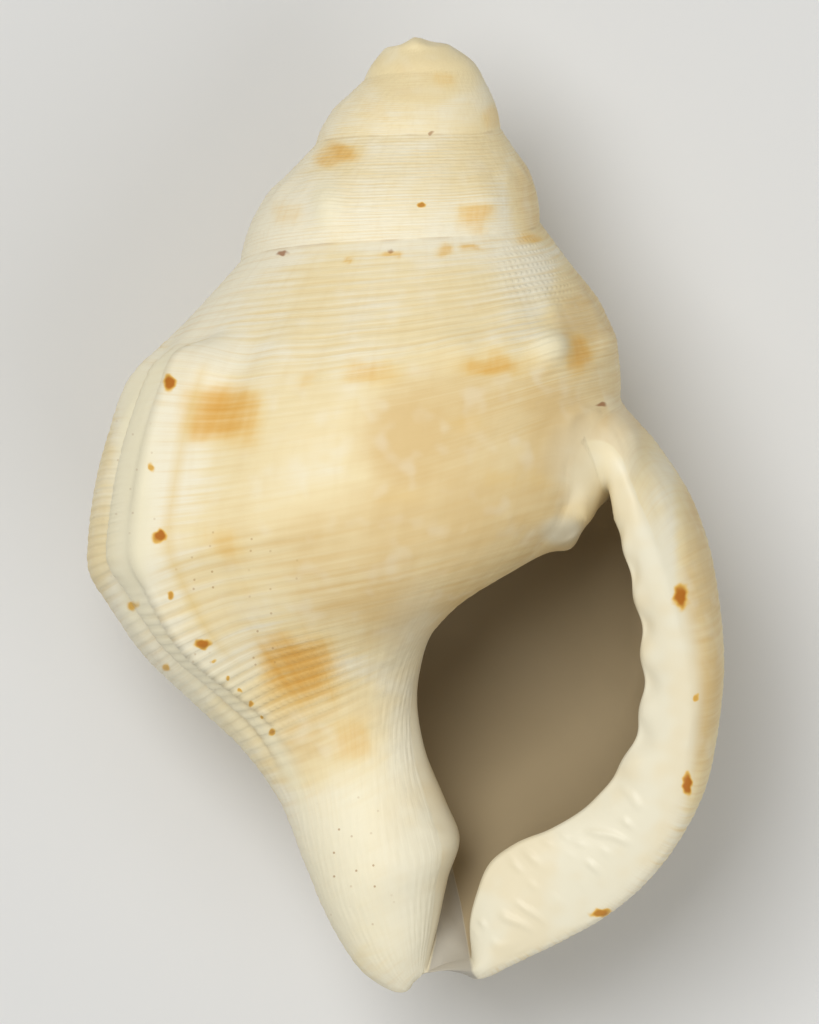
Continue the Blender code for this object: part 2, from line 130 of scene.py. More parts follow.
CORNER_ROW = 1.12
CORNER_SHARE = 0.16
CORNER_CALLUS = 0.6
EDGE_CALLUS = 0.06
CAVITY_TOP_ROW = 0.3
CAVITY_END_TURN = -0.46
FLOOR_SAG = (0.0, 0.15, -0.6)
TOOTH_ROW = 1.222
TOOTH_SPAN = 0.025
TOOTH_PART = 0.72
TOOTH_REACH = 0.25
TOOTH_HEIGHT = 0.7
DENTICLES = 10
DENTICLE_HEIGHT = 0.22
INNER_EDGE_PACE = 1.3
CANAL_FLOOR_TURN = -0.38

# Callus that fills the mouth's upper corner and the tooth: middle and half size in pixels, height in
# millimetres, its fall for each pixel down the picture and the line that it falls from.
FILLS = [(590, 448, 60, 62, 6.95, 0.018, 440), (557, 527, 30, 22, 4.7, 0.0, 526)]
FILL_SOFTNESS = 0.5

# Relief of the wall: the old lip (varix), a swelling with a step down at its edge and a groove after it, the
# shoulder's nodules and the spiral cords. Ridges and folds lie on the lip's face.
VARIX_TURN = -0.5988
VARIX_HEIGHT = 1.5
VARIX_RISE = 0.045
VARIX_FALL = 0.046
VARIX_STEP = 0.5
VARIX_GROOVE = 0.8
VARIX_GROOVE_AWAY = 0.006
NODULE_ROW = 0.42
NODULE_SPAN = 0.12
NODULE_STEP = 1.0 / 18.0
NODULE_HEIGHT = 0.6
NODULE_FADE = 0.02
NODULES_END = 0.05
SPIRE_START = -3.5
UPPER_CORDS = 32
LOWER_CORDS = 46
CORD_HEIGHT = 0.07
LATTICE_RIBS = 136.0
RIDGE_HEIGHT = 0.09
FOLD_HEIGHT = 0.1
UNEVEN_HEIGHT = 0.012

# Fineness of the mesh.
TURN_COLUMNS = 192
LIP_COLUMNS = 22
UPPER_ROWS = 3 * UPPER_CORDS
LOWER_ROWS = 3 * LOWER_CORDS
FACE_RINGS = 20
WALL_RINGS = 14
END_RINGS = 3
FLOOR_POINTS = 14
DOME_RINGS = 3

# Low rises on the front: middle x and y, width and height in pixels, and millimetres of rise.
LUMPS = [
    (548, 350, 42, 42, 0.75), (604, 343, 26, 36, 0.35), (500, 345, 50, 36, 0.25), (458, 350, 60, 40, 0.25),
    (200, 372, 60, 46, 0.35), (328, 207, 40, 60, 0.4), (485, 205, 50, 56, 0.3), (415, 43, 26, 14, 0.35),
    (385, 660, 30, 10, 0.07), (378, 690, 30, 10, 0.07), (374, 722, 30, 10, 0.06), (390, 745, 30, 11, 0.07),
    (400, 790, 30, 12, 0.08), (415, 810, 30, 11, 0.08), (430, 830, 30, 12, 0.1),
    (567, 424, 14, 16, 0.14), (573, 415, 16, 14, 0.16), (583, 411, 18, 12, 0.16), (593, 414, 18, 12, 0.14),
    (582, 517, 14, 12, 0.2), (552, 524, 40, 26, 0.15),
]

# Parts that are evened out, besides a belt along the widest line: middle x and y, width and height in pixels,
# and strength. The mouth's corner is evened in more rounds.
EVEN_PACE = 0.8
EVENED = [
    (600, 450, 84, 110, 0.9), (405, 988, 44, 34, 0.25), (455, 975, 60, 16, 0.3), (480, 978, 18, 20, 0.3),
    (420, 62, 120, 30, 0.15),
]
EVEN_ROUNDS = 40
CORNER_EVENED = [(594, 440, 64, 92, 1.0)]
CORNER_ROUNDS = 140

# Share of the full height that the cords have on the front.
CORDED = [
    (420, 170, 280, 280, 0.2), (400, 310, 420, 150, 0.25), (570, 300, 170, 200, 0.7),
    (100, 500, 50, 360, 0.9), (225, 725, 160, 150, 0.9), (160, 650, 130, 120, 0.8),
    (300, 680, 130, 120, 0.5), (700, 520, 90, 280, 0.5), (230, 560, 170, 260, 0.2),
]
CORDED_ELSEWHERE = 0.08
CORDED_BEHIND = 0.7

# Where cords and growth ribs cross in beads.
LATTICED = [(545, 265, 150, 90, 0.45), (510, 185, 70, 90, 0.35), (300, 680, 110, 110, 0.3)]
LATTICED_BEHIND = 0.15

# Soft areas of colour on the front: middle x and y, width and height in pixels, and strength.
BLOTCHES = [
    (342, 155, 56, 28, 0.7), (447, 82, 30, 24, 0.4), (375, 113, 34, 22, 0.25), (495, 118, 26, 34, 0.4),
    (475, 218, 44, 36, 0.55), (290, 215, 42, 30, 0.35), (350, 260, 16, 12, 0.6), (391, 258, 22, 13, 0.6),
    (446, 252, 24, 13, 0.6), (471, 250, 24, 13, 0.6), (530, 238, 32, 16, 0.6), (224, 416, 94, 72, 0.85),
    (370, 375, 72, 34, 0.55), (490, 368, 84, 30, 0.7), (577, 355, 34, 42, 0.75), (306, 380, 26, 24, 0.4),
    (465, 425, 44, 24, 0.3), (405, 495, 60, 26, 0.25), (500, 480, 50, 24, 0.3), (540, 480, 40, 24, 0.3),
    (225, 545, 50, 40, 0.5), (250, 590, 40, 34, 0.3), (298, 668, 104, 92, 0.85), (355, 740, 56, 56, 0.5),
    (320, 800, 46, 50, 0.2), (575, 362, 30, 40, 0.5),
]
SPOTS = [
    (171, 384, 13, 18, 1.0), (162, 536, 16, 14, 1.0), (153, 466, 7, 10, 0.6), (172, 594, 8, 9, 0.7),
    (204, 643, 18, 11, 0.9), (215, 660, 5, 5, 0.5), (228, 677, 6, 5, 0.6), (240, 690, 5, 5, 0.6),
    (252, 704, 6, 6, 0.7), (262, 716, 5, 5, 0.6), (272, 731, 7, 6, 0.7), (134, 605, 14, 12, 0.55),
    (166, 667, 12, 9, 0.55), (679, 596, 18, 28, 1.0), (695, 697, 6, 8, 0.6), (686, 783, 11, 24, 1.0),
    (600, 912, 24, 10, 0.8), (421, 207, 10, 7, 0.8),
]
DARK_SPECKS = [(283, 254, 13, 4, 0.8), (391, 253, 8, 4, 0.6), (431, 135, 6, 3, 0.6), (600, 406, 12, 4, 0.8)]
# Tan areas are the shell's own colour. The one at 100, 500, on the cream-white growth left of the old lip, is
# partly painted shade.
TAN_AND_SHADE_AREAS = [
    (440, 560, 420, 240, 0.85), (480, 440, 330, 200, 0.9), (600, 330, 120, 200, 0.75),
    (540, 190, 70, 120, 0.8), (330, 450, 280, 220, 0.45), (420, 150, 200, 180, 0.35),
    (400, 310, 360, 120, 0.4), (310, 720, 200, 140, 0.6), (700, 620, 60, 400, 0.8),
    (230, 560, 160, 180, 0.45), (550, 470, 140, 160, 0.8), (590, 455, 60, 90, 0.7),
    (100, 500, 40, 300, 0.35), (420, 75, 130, 90, 0.5),
]
GLAZED = [
    (420, 700, 90, 220, 0.6), (430, 850, 110, 240, 0.75), (560, 530, 46, 30, 0.9), (620, 450, 40, 100, 0.6),
    (585, 460, 80, 100, 0.5),
]
# Pale areas are mostly the shell's own pale colour. The one on the shoulder nodule at 546, 348 is partly its
# own whiter colour and partly a painted highlight.
PALE_AND_HIGHLIGHT_AREAS = [
    (136, 490, 40, 300, 1.0), (370, 870, 160, 240, 0.6), (210, 720, 110, 160, 0.6), (546, 348, 34, 34, 0.8),
    (328, 205, 32, 50, 0.7),
]
SMOOTH_AREAS = [
    (400, 470, 440, 190, 1.0), (420, 790, 180, 420, 1.0), (140, 500, 50, 320, 1.0), (590, 450, 90, 100, 1.0),
    (350, 860, 160, 240, 1.0), (690, 640, 70, 300, 0.6), (665, 490, 90, 170, 0.9), (100, 500, 50, 320, 0.6),
]
PORED = [(350, 870, 90, 150, 1.0), (240, 600, 130, 180, 0.8), (130, 500, 80, 200, 0.4)]

# Blotches of the hidden side: rows that they stand in, spacing in turns and the seed of their sizes.
BACK_LINES = (0.12, 0.5, 0.85, 1.15, 1.4)
BACK_STEP = 0.075
BACK_SEED = 7

# Soft areas fade out at this share of their half size.
AREA_END = 1.3

# Colours, as red, green and blue of 0 to 255.
PALE_GROUND = (246, 238, 212)
CREAM_GROUND = (243, 225, 178)
TAN_GROUND = (226, 196, 138)
CORD_LINE = (224, 186, 118)
HAIR_LINE = (222, 186, 122)
GROWTH_LINE = (220, 190, 130)
CHALK = (248, 242, 222)
SOFT_ORANGE = (240, 202, 118)
STRONG_ORANGE = (218, 152, 56)
PALE_PATCH = (244, 235, 202)
OLD_EDGE = (228, 194, 112)
# A broken darker brown along the sutures.
SUTURE_DARKENING = (176, 136, 74)
WHITE_GLAZE = (238, 231, 206)
CREAM_GLAZE = (236, 224, 192)
# The inside is white porcelain: this darker greyish tan is painted shade in the mouth cavity.
INSIDE_SHADE_COLOR = (186, 168, 134)
# The floor of the canal and of the cavity: this greyish colour is painted shade on paler porcelain.
CANAL_SHADE_COLOR = (184, 177, 162)
SPOT_RIM = (236, 192, 96)
SPOT_MIDDLE = (186, 112, 30)
SPECK = (150, 84, 20)
PORE = (160, 108, 44)

# Soft studio light: name, place in metres, size and power.
LIGHTS = [("key", (-0.18, 0.16, 0.66), 0.35, 2.95), ("fill", (0.3, -0.3, 0.55), 0.5, 1.15)]
LIGHT_TARGET = Vector((0, 0, 0.01))
WORLD_COLOR = (0.82, 0.82, 0.8, 1.0)
WORLD_STRENGTH = 0.35
FLOOR_SIZE = 4.0
FLOOR_COLOR = (0.72, 0.72, 0.71, 1.0)
FLOOR_ROUGHNESS = 0.8
CAMERA_DISTANCE = 1.0
SENSOR_HEIGHT = 24.0
MM = 0.001

WALL_ZONE, LIP_ZONE, PARIETAL_ZONE, CAVITY_ZONE, FLOOR_ZONE = range(5)
UP = np.array((0.0, 0.0, 1.0))


def smooth(x):
    """Eases from 0 to 1 as x goes from 0 to 1."""
    x = np.clip(x, 0.0, 1.0)
    return x * x * (3.0 - 2.0 * x)


def hump(x, middle, width):
    """A rounded rise of height 1 round the middle."""
    return np.exp(-(((x - middle) / width) ** 2))


def ripple(a, b, seed, waves=7):
    """Smooth irregular waves of two coordinates, mostly between -1 and 1."""
    rng = np.random.default_rng(seed)
    total = np.zeros(len(a))
    for _ in range(waves):
        angle, size, start = rng.uniform(0.0, math.pi), rng.uniform(0.6, 1.7), rng.uniform(0.0, 2.0 * math.pi)
        total += np.sin(2.0 * math.pi * size * (a * math.cos(angle) + b * math.sin(angle)) + start)
    return total / math.sqrt(waves)


def through(x, knots, values):
    """A smooth curve through values at knots. Where each x has its own column of values, it uses that one."""
    x = np.asarray(x, float)
    slopes = np.gradient(values, knots, axis=0)
    at = np.clip(np.searchsorted(knots, x) - 1, 0, len(knots) - 2)
    pick = (at, np.arange(len(x))) if values.ndim == 3 else (at,)
    after = (at + 1, np.arange(len(x))) if values.ndim == 3 else (at + 1,)
    width = (knots[at + 1] - knots[at])[:, None]
    t = (x - knots[at])[:, None] / width
    if values.ndim == 1:
        width, t = width[:, 0], t[:, 0]
    return (
        (1 + 2 * t) * (1 - t) ** 2 * values[pick]
        + t * (1 - t) ** 2 * width * slopes[pick]
        + t * t * (3 - 2 * t) * values[after]
        + t * t * (t - 1) * width * slopes[after]
    )


def along(points, part):
    """The place at each share of a curve's length, 0 to 1."""
    points = np.asarray(points, float)
    steps = np.linalg.norm(np.diff(points, axis=0), axis=1)
    knots = np.concatenate([[0.0], np.cumsum(steps)]) / steps.sum()
    return through(part, knots, points)


def base_at(turn, row):
    """Radius and depth below the widest line, where row goes from 1 to 2."""
    part = np.clip(row - 1.0, 0.0, 1.0)
    mouth = along(BASE_MOUTH, part)
    inner = mouth.copy()
    inner[:, 0] = np.maximum(mouth[:, 0] * HIDDEN_SHARE, np.minimum(mouth[:, 0], HIDDEN_LEAST))
    inner[:, 1] -= LAST_HALF_TURN_DROP * (1.0 - smooth(part / 0.5))
    stations = np.stack(
        [inner, mouth]
        + [along(outline, part) for outline in (BASE_LEFT, BASE_BACK, BASE_RIGHT_BACK, BASE_RIGHT)]
    )
    place = through(np.clip(turn, BASE_TURNS[0], 0.0), BASE_TURNS, stations)
    place[:, 1] -= WIDEST_LIFT * hump(turn, WIDEST_LIFT_TURN, WIDEST_LIFT_SPAN) * (1.0 - smooth(part / 0.3))
    return place


def suture_at(turn):
    """Radius and depth of the suture. After turn 0 it runs along the whorl before."""
    early = through(np.clip(turn, SUTURE_TURNS[0], 0.0), SUTURE_TURNS, SUTURE)
    late = base_at(turn - 1.0, np.ones_like(turn))
    return np.where((turn > 0.0)[:, None], late, early)


def widest_at(turn):
    """Radius and depth of the widest line, which the next whorl's suture follows."""
    early = suture_at(np.minimum(turn, -1.0) + 1.0)
    late = base_at(turn, np.ones_like(turn))
    return np.where((turn > -1.0)[:, None], late, early)


def whorl_size(turn):
    """Size of the whorl at a turn, as a share of the last one's."""
    return suture_at(np.clip(turn, SPIRE_START, 0.0))[:, 0] / SUTURE_RADIUS


def ramp(part, steep, sharp):
    """Share of the radius gained at each share of a whorl's height: a slope, a shoulder, then upright."""
    def bent(v):
        return steep * v / (1.0 + (steep * v) ** sharp) ** (1.0 / sharp)

    return bent(part) / bent(1.0)


def relief(turn, row):
    """Height added to the wall by the old lip and by the nodules, which are low on the side that faces up."""
    past = turn - VARIX_TURN
    before = VARIX_HEIGHT * np.clip(past / VARIX_RISE + 1.0, 0.0, 1.0) ** 1.5
    after = (VARIX_HEIGHT - VARIX_STEP) * np.sqrt(np.clip(1.0 - (past / VARIX_FALL) ** 2, 0.0, 1.0))
    groove = VARIX_GROOVE * hump(past, VARIX_FALL + VARIX_GROOVE_AWAY, 0.012)
    down = smooth((row - 0.3) / 0.16) * (1.0 - smooth((row - 1.15) / 0.45))
    varix = (np.where(past < 1e-3, before, after) - groove) * down
    wave = 0.5 + 0.5 * np.cos(2.0 * math.pi * turn / NODULE_STEP)
    nodules = NODULE_HEIGHT * whorl_size(turn) * wave * hump(row, NODULE_ROW, NODULE_SPAN)
    mouth_turn = LIP_TURN - 1.0
    late = smooth((turn - mouth_turn) / NODULE_FADE) * smooth(-turn / NODULES_END)
    late = late * (1.0 - 0.9 * hump(turn, -0.77, 0.13))
    spire = (1.0 - 0.75 * hump(np.mod(turn, 1.0), 0.25, 0.2)) * smooth((turn + 3.0) / 0.5)
    early = (turn < mouth_turn - NODULE_FADE) & (row < 1.0)
    return varix + nodules * np.where(early, 0.5 * spire, late)


def profile(turn, row, inset=0.0):
    """Radius and depth of the wall, or of a line inset from it."""
    top, wide = suture_at(turn), widest_at(turn)
    shape = through(np.clip(turn, -4.0, 0.0), SHOULDER_TURNS, SHOULDER)
    part = np.clip(row, 0.0, 1.0)
    upper = np.stack(
        [
            top[:, 0] + (wide[:, 0] - top[:, 0]) * ramp(part, shape[:, 0], shape[:, 1]),
            top[:, 1] + (wide[:, 1] - top[:, 1]) * part,
        ],
        axis=1,
    )
    place = np.where((row > 1.0)[:, None], base_at(turn, row), upper)
    if np.any(inset):
        step = 0.02
        ahead = profile(turn, np.minimum(row + step, 2.0))
        behind = profile(turn, np.maximum(row - step, 0.0))
        run = ahead - behind
        run /= np.linalg.norm(run, axis=1)[:, None]
        place = place + np.stack([-run[:, 1], run[:, 0]], axis=1) * np.reshape(inset, (-1, 1))
    return place


def stand(place, turn):
    """x, y and z from radius, depth and turn."""
    radius, depth = place[:, 0], place[:, 1]
    bend = CANAL_BEND * np.maximum(0.0, (depth - CANAL_BEND_START) / CANAL_BEND_SPAN) ** 2
    angle = 2.0 * math.pi * turn
    side = radius * np.cos(angle) + bend
    cos, sin = math.cos(AXIS_TILT), math.sin(AXIS_TILT)
    x = APEX[0] + side * cos - depth * sin
    y = APEX[1] - side * sin - depth * cos
    z = radius * np.sin(angle) * DEPTH_SHARE - CANAL_DIP * bend / CANAL_BEND
    return np.stack([x, y, z], axis=1)


def crest(row):
    """The edge of the outer lip, from where it rests on the whorl before to the canal."""
    start = stand(profile(np.array([LIP_TURN - 1.0]), np.ones(1)), LIP_TURN - 1.0)
    point = along(LIP_CREST, row / 2.0)
    return point + (start - np.array(LIP_CREST[0])) * (1.0 - smooth(row / 0.25))[:, None]


def inner_edge(row):
    """The inner edge of the lip's face, with its blunt teeth."""
    point = along(LIP_INNER, inner_part(row))
    point[:, 0] -= DENTICLE_HEIGHT * 0.5 * teeth_at(row)
    return point


def inner_part(row):
    """Share of the inner edge's length that lies above each row."""
    return np.clip(row / 2.0, 0.0, 1.0) ** INNER_EDGE_PACE


def teeth_at(row):
    """Blunt teeth along the lip's inner edge, from 1 on a tooth to -1 between two."""
    part = inner_part(row)
    wave = np.cos(2.0 * math.pi * DENTICLES * part)
    return wave * smooth((part - 0.06) / 0.06) * smooth((0.62 - part) / 0.15)


def bow(part, start, end, leave, arrive):
    """A curve from start to end that leaves and arrives along the given directions."""
    part = np.reshape(part, (-1, 1))
    reach = np.linalg.norm(end - start, axis=1)[:, None]
    leave = leave / np.linalg.norm(leave, axis=1)[:, None] * reach
    arrive = arrive / np.linalg.norm(arrive, axis=1)[:, None] * reach
    return (
        (1 + 2 * part) * (1 - part) ** 2 * start
        + part * (1 - part) ** 2 * leave
        + part * part * (3 - 2 * part) * end
        + part * part * (part - 1) * arrive
    )


def crown(row):
    """How much the lip's face swells: most at its top, where it fills the corner of the mouth."""
    return (LIP_CROWN + (CORNER_CROWN - LIP_CROWN) * (1.0 - smooth(row / 0.5)))[:, None] * UP


def over_the_lip(row):
    """The direction in which the surface crosses the lip's edge, inwards."""
    return inner_edge(row) - crest(row) + crown(row)


def wall(turn, row):
    """The outer surface, which curves over into the edge of the lip at its end."""
    point = stand(profile(turn, row, -relief(turn, row)), turn)
    part = (turn - LIP_START) / (LIP_TURN - LIP_START)
    if np.all(part <= 0.0):
        return point
    start_turn = np.full(len(row), LIP_START)
    place = profile(start_turn, row)
    start, ahead = stand(place, start_turn), stand(place, start_turn + 0.01)
    lip = bow(np.clip(part, 0.0, 1.0), start, crest(row), ahead - start, over_the_lip(row))
    near = (smooth(row / 0.3) * smooth(part / 0.3))[:, None]
    return point + (lip - point) * np.maximum(near, smooth((part - 0.6) / 0.4)[:, None])


def mouth_side(row, reach):
    """How far each row of the whorl before runs into the mouth, as a turn beyond -1."""
    edge = -0.03 + 0.107 * hump(row, 1.1, 0.09) + 0.1 * smooth((row - 1.8) / 0.2)
    return LIP_TURN + (edge - LIP_TURN) * reach


def callus(row, part):
    """Height of the glaze laid on the whorl before: 0 at its outer border, part 1 at the mouth's edge."""
    thin = EDGE_CALLUS * np.minimum(smooth((row - 1.0) / 0.1), smooth((2.0 - row) / 0.1))
    middle = CORNER_CALLUS * math.sin(math.pi * part) * hump(row, CORNER_ROW, 0.12 - 0.05 * part)
    tooth = TOOTH_HEIGHT * hump(row, TOOTH_ROW, TOOTH_SPAN) * hump(part, TOOTH_PART, TOOTH_REACH)
    return thin * smooth(part / 0.5) + middle + tooth


def meet(lip, side):
    """Brings the starts of both sides to one corner, easing along each."""
    middle = (lip[0] + side[0]) / 2.0
    for edge in (lip, side):
        ease = 1.0 - smooth(np.arange(len(edge)) / (CORNER_SHARE * len(edge)))
        edge += (middle - edge[0]) * ease[:, None]
    return lip, side


def face_ring(part, row_lip, row_columella):
    """A ring of the lip's face: 0 at the outer edge, 1 at the inner edge."""
    outer, inner = crest(row_lip), inner_edge(row_lip)
    lip = bow(part, outer, inner, over_the_lip(row_lip), inner - outer - crown(row_lip))
    start = 1.0 + (CORNER_ROW - 1.0) * part
    row = start + (2.0 - start) * (row_columella - 1.0)
    turn = -1.0 + mouth_side(row, part)
    return meet(lip, stand(profile(turn, row, -callus(row, part)), turn))


def cavity_ring(turn, row_lip, row_columella):
    """A section of the mouth cavity at a turn behind the lip."""
    away = smooth(-turn / 0.12)
    end = 2.0 - 0.45 * smooth(-turn / 0.26) - 0.03
    row = CAVITY_TOP_ROW + (end - CAVITY_TOP_ROW) * row_lip / 2.0
    inside = stand(profile(np.full(len(row), turn), row, WALL), np.full(len(row), turn))
    lip = inner_edge(row_lip) * (1.0 - away) + inside * away
    row = CORNER_ROW + (end - CORNER_ROW) * (row_columella - 1.0)
    place = -1.0 + mouth_side(row, 1.0) + turn
    side = stand(profile(place, row, -callus(row, 1.0) * (1.0 - away)), place)
    return meet(lip, side)


def floor_between(start, end):
    """Points across the canal's floor, from its right wall to its left wall."""
    part = (np.arange(FLOOR_POINTS) + 1.0)[:, None] / (FLOOR_POINTS + 1.0)
    return start + (end - start) * part + np.sin(math.pi * part) * np.asarray(FLOOR_SAG)


class Surface:
    """Points with turn, row, zone and depth into the mouth, and faces with each corner's growth place."""

    def __init__(self):
        self.points, self.place, self.faces, self.growth = [], [], [], []

    def add(self, points, turn, row, zone, depth=0.0):
        """Adds points and returns their numbers."""
        first = len(self.points)
        count = len(points)
        turn, row, depth = (np.broadcast_to(value, (count,)) for value in (turn, row, depth))
        self.points.extend(points)
        self.place.extend(zip(turn, row, [zone] * count, depth))
        return list(range(first, first + count))

    def face(self, corners, growth):
        """Adds a face, leaving out a corner that comes twice."""
        kept = [n for n in range(len(corners)) if corners[n] not in corners[:n]]
        if len(kept) > 2:
            self.faces.append([corners[n] for n in kept])
            self.growth.append([growth[n] for n in kept])

    def bridge(self, outer, inner, outer_at, inner_at):
        """Faces between two closed rows of points of one length."""
        count = len(outer)
        for i in range(count):
            j = (i + 1) % count
            self.face(
                (outer[i], outer[j], inner[j], inner[i]), (outer_at[i], outer_at[j], inner_at[j], inner_at[i])
            )

    def fan(self, loop, loop_at, middle, middle_at):
        """Faces between a closed row of points and one point in its middle."""
        for i in range(len(loop)):
            j = (i + 1) % len(loop)
            self.face((loop[i], middle, loop[j]), (loop_at[i], middle_at, loop_at[j]))

    def zip_strip(self, outer, inner, outer_at, inner_at, share):
        """Closes the strip between two open rows that share their ends.

        The inner row is used up at a share of the outer one. The rest fans out from the inner row's end.
        """
        i = j = 0
        while i < len(outer) - 1 or j < len(inner) - 1:
            step_outer, step_inner = (i + 1) / (len(outer) - 1) / share, (j + 1) / (len(inner) - 1)
            if j == len(inner) - 1 or (i < len(outer) - 1 and step_outer <= step_inner):
                self.face((outer[i], outer[i + 1], inner[j]), (outer_at[i], outer_at[i + 1], inner_at[j]))
                i += 1
            else:
                self.face((outer[i], inner[j + 1], inner[j]), (outer_at[i], inner_at[j + 1], inner_at[j]))
                j += 1


def columns():
    """Turns of the mesh's columns. The lip's own columns repeat one whorl before, where it rests."""
    lip = np.linspace(0.0, LIP_TURN, LIP_COLUMNS + 1)
    rest = np.linspace(LIP_TURN - 1.0, 0.0, TURN_COLUMNS - LIP_COLUMNS + 1)[1:]
    turn = np.concatenate([lip[:-1] - 1.0, [LIP_TURN - 1.0], rest])
    whole = [turn[1:] - n for n in range(int(-FIRST_TURN), -1, -1)]
    every = np.concatenate([np.concatenate(whole), lip[1:]])
    return every[every >= FIRST_TURN - 1e-6]


def upper_rows(column, last):
    """How many rows a column has between its sutures: fewer on the small early whorls."""
    whorls_back = max(last - column - 1, 0) // TURN_COLUMNS
    return UPPER_ROWS // (1, 1, 2, 4, 4, 4)[min(whorls_back, 5)]


def lower_rows():
    """Rows below the widest line, down to the canal's end."""
    return 1.0 + np.linspace(0.0, 1.0, LOWER_ROWS + 1)[1:]


def add_wall(surface):
    """Adds the outer surface and gives its open edges: lip side, canal end, columella side and dome."""
    turn = columns()
    last = len(turn) - 1
    shift = TURN_COLUMNS
    lower = lower_rows()
    ids, ats = [], []
    for c, t in enumerate(turn):
        row = np.linspace(0.0, 1.0, upper_rows(c, last) + 1)
        if c >= last - shift:
            row = np.concatenate([row, lower])
        points = wall(np.full(len(row), t), row)
        if c >= shift:
            above = ids[c - shift][upper_rows(c - shift, last)]
            column = [above] + surface.add(points[1:], t, row[1:], WALL_ZONE)
        else:
            column = surface.add(points, t, row, WALL_ZONE)
        ids.append(column)
        ats.append([(t, r) for r in row])
    for c in range(last):
        here, there = upper_rows(c, last), upper_rows(c + 1, last)
        step = there // here
        whole = len(ids[c]) - 1 if c >= last - shift else here
        for r in range(whole):
            a, b = (c, r), (c, r + 1)
            far, near = (c + 1, (r + 1) * step), (c + 1, r * step)
            if step == 2:
                middle = (c + 1, r * 2 + 1)
                put(surface, ids, ats, (a, b, far, middle))
                put(surface, ids, ats, (a, middle, near))
            else:
                put(surface, ids, ats, (a, b, far, near))
    full = len(ids[last])
    lip = (ids[last], ats[last])
    canal = [(c, full - 1) for c in range(last, last - shift - 1, -1)]
    columella = [(last - shift, r) for r in range(full - 1, UPPER_ROWS - 1, -1)]
    dome = [(c, 0) for c in range(shift + 1)] + [(0, r) for r in range(upper_rows(0, last) - 1, 0, -1)]
    edges = [
        ([ids[c][r] for c, r in edge], [ats[c][r] for c, r in edge]) for edge in (canal, columella, dome)
    ]
    return [lip] + edges


def put(surface, ids, ats, corners):
    """Adds a face of the wall from the columns and rows of its corners."""
    surface.face([ids[c][r] for c, r in corners], [ats[c][r] for c, r in corners])


def add_dome(surface, loop, at):
    """Closes the top of the spire in shrinking rings."""
    points = np.array([surface.points[n] for n in loop])
    top = np.append(APEX, 0.0)
    for n in range(1, DOME_RINGS + 1):
        part = n / (DOME_RINGS + 1.0)
        ring = surface.add(points + (top - points) * part, FIRST_TURN, 0.0, WALL_ZONE)
        surface.bridge(ring, loop, at, at)
        loop = ring
    middle = surface.add([top], FIRST_TURN, 0.0, WALL_ZONE)[0]
    surface.fan(loop, at, middle, at[0])


def add_mouth(surface, lip, canal, columella):
    """Adds the lip's face, the canal and the cavity, ring by ring, and closes the cavity's end."""
    row = np.concatenate([np.linspace(0.0, 1.0, UPPER_ROWS + 1), lower_rows()])
    row_columella = row[UPPER_ROWS:]
    start, end = surface.points[lip[0][-1]], surface.points[columella[0][0]]
    floor = surface.add(floor_between(start, end), 0.0, 2.0, FLOOR_ZONE)
    floor_at = [(0.0, 2.0)] * len(floor)
    loop = lip[0] + floor + columella[0][:-1]
    at = lip[1] + floor_at + columella[1][:-1]
    inner = [lip[0][-1]] + floor + [columella[0][0]]
    inner_at = [lip[1][-1]] + floor_at + [columella[1][0]]
    surface.zip_strip(canal[0], inner, canal[1], inner_at, LIP_TURN - CANAL_FLOOR_TURN)
    face = [(part, face_ring(part, row, row_columella)) for part in np.linspace(0.0, 1.0, FACE_RINGS + 1)[1:]]
    turns = np.linspace(0.0, CAVITY_END_TURN, WALL_RINGS + 1)[1:]
    cavity = [(1.0 + n + 1, cavity_ring(t, row, row_columella)) for n, t in enumerate(turns)]
    for depth, (right, left) in face + cavity:
        inside = depth > 1.0
        added = surface.add(right, LIP_TURN, row, CAVITY_ZONE if inside else LIP_ZONE, depth)
        added += surface.add(floor_between(right[-1], left[-1]), 0.0, 2.0, FLOOR_ZONE, depth)
        zone = CAVITY_ZONE if inside else PARIETAL_ZONE
        added += surface.add(left[:0:-1], LIP_TURN - 1.0, row_columella[:0:-1], zone, depth)
        surface.bridge(added, loop, at, at)
        loop = added
    ring = np.array([surface.points[n] for n in loop])
    centre = ring.mean(axis=0)
    deepest = WALL_RINGS + 1.0
    for n in range(1, END_RINGS):
        points = ring + (centre - ring) * (n / END_RINGS)
        added = surface.add(points, LIP_TURN, 1.0, CAVITY_ZONE, deepest)
        surface.bridge(added, loop, at, at)
        loop = added
    middle = surface.add([centre], LIP_TURN, 1.0, CAVITY_ZONE, deepest)[0]
    surface.fan(loop, at, middle, at[0])


def shell_surface():
    """The whole closed surface, before its low relief."""
    surface = Surface()
    lip, canal, columella, dome = add_wall(surface)
    add_dome(surface, *dome)
    add_mouth(surface, lip, canal, columella)
    return surface


def pixels(points):
    """Where points stand in the picture."""
    return PICTURE_MIDDLE[0] + points[:, 0] * PIXELS_PER_MM, PICTURE_MIDDLE[1] - points[:, 1] * PIXELS_PER_MM


def areas(listed, x, y, blocky=2.0, core=0.5):
    """The strongest of some soft areas at each place.

    A blocky of 2 makes an oval, and more is nearer a rectangle. An area has its full strength out to the
    share core of its half size.
    """
    total = np.zeros(len(x))
    for middle_x, middle_y, width, height, strength in listed:
        across, down = np.abs(x - middle_x) / (0.5 * width), np.abs(y - middle_y) / (0.5 * height)
        far = (across**blocky + down**blocky) ** (1.0 / blocky)
        total = np.maximum(total, strength * (1.0 - smooth((far - core) / (AREA_END - core))))
    return total


def evened(points, edges, weight, rounds):
    """Moves points towards the middle of their neighbours, as far as weight says."""
    one, other = edges.T
    size = len(points)
    count = np.bincount(edges.ravel(), minlength=size)[:, None]
    for _ in range(rounds):
        total = np.stack(
            [
                np.bincount(one, points[other, k], size) + np.bincount(other, points[one, k], size)
                for k in range(3)
            ],
            axis=1,
        )
        points = points + (total / count - points) * weight[:, None]
    return points


